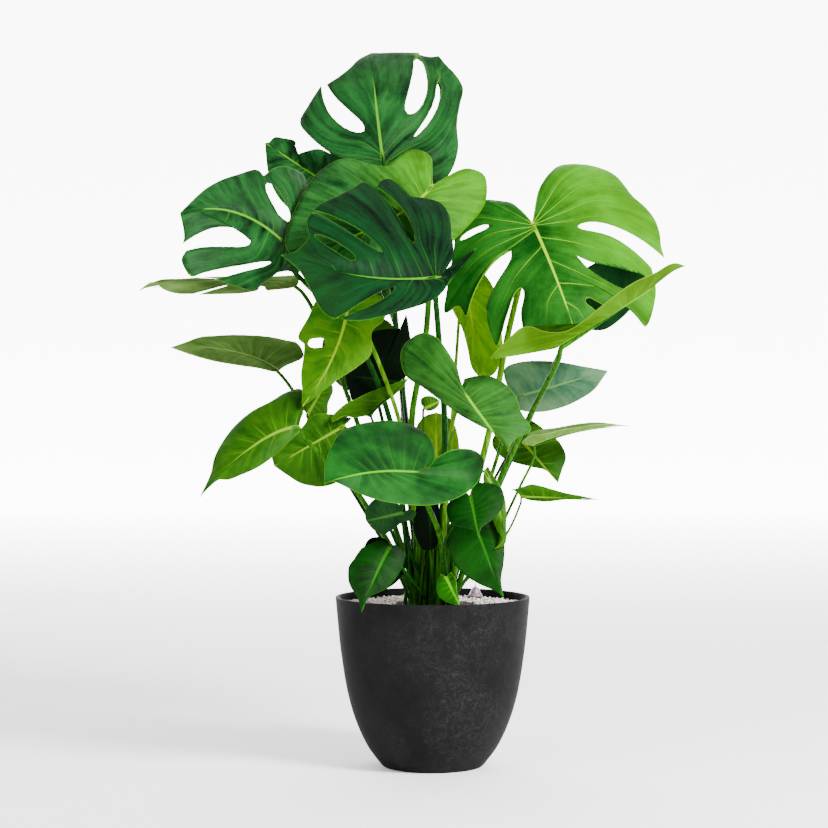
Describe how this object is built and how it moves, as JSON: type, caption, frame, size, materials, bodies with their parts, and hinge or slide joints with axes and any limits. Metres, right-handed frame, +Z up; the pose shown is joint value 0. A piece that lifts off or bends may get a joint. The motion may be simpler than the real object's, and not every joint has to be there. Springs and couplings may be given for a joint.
{
  "type": "potted plant",
  "caption": "Potted swiss cheese plant: a round tapered planter with gravel, and a clump of long-stalked heart-shaped leaves, the larger ones split.",
  "frame": {"origin": "middle of the planter's underside, on the ground", "axes": "+Z up, the front of the plant towards -Y, right +X"},
  "size_m": [0.8868, 0.5905, 1.2508],
  "materials": {
    "planter": "matte",
    "soil": "matte",
    "gravel": "matte",
    "gauge_cap": "satin",
    "gauge_pin": "satin",
    "leaf_dark": "satin",
    "leaf_mid": "satin",
    "leaf_bright": "satin",
    "leaf_lime": "satin"
  },
  "bodies": {
    "root": {"planter": "planter", "soil": "soil", "gravel": "gravel", "gauge_cap": "gauge_cap", "gauge_pin": "gauge_pin", "leaf_crown": "leaf_dark", "leaf_light_split": "leaf_bright", "leaf_dark_split": "leaf_dark", "leaf_far_left": "leaf_dark", "leaf_flat_left": "leaf_mid", "leaf_back_left": "leaf_dark", "leaf_bright_right": "leaf_bright", "leaf_turned_right": "leaf_mid", "leaf_dark_right": "leaf_dark", "leaf_drooping": "leaf_dark", "leaf_front_heart": "leaf_mid", "leaf_low_left": "leaf_mid", "leaf_lime": "leaf_lime", "leaf_shade": "leaf_dark", "leaf_sliver": "leaf_mid", "leaf_fold_left": "leaf_mid", "leaf_under_left": "leaf_mid", "leaf_edge_left": "leaf_mid", "leaf_edge_right": "leaf_mid", "leaf_small_right": "leaf_mid", "leaf_narrow_right": "leaf_mid", "leaf_low_heart": "leaf_dark", "leaf_low_right": "leaf_mid", "leaf_fold_right": "leaf_mid", "leaf_low_front": "leaf_mid", "leaf_low_shade": "leaf_dark", "leaf_sprout": "leaf_mid", "leaf_curl_low": "leaf_mid", "leaf_dark_low": "leaf_dark", "leaf_olive_centre": "leaf_mid", "leaf_tiny": "leaf_mid", "leaf_young_lime": "leaf_lime", "leaf_behind_bright": "leaf_dark", "leaf_rear_high": "leaf_dark", "leaf_rear_middle": "leaf_mid", "leaf_rear_low": "leaf_mid"}
  },
  "joints": []
}
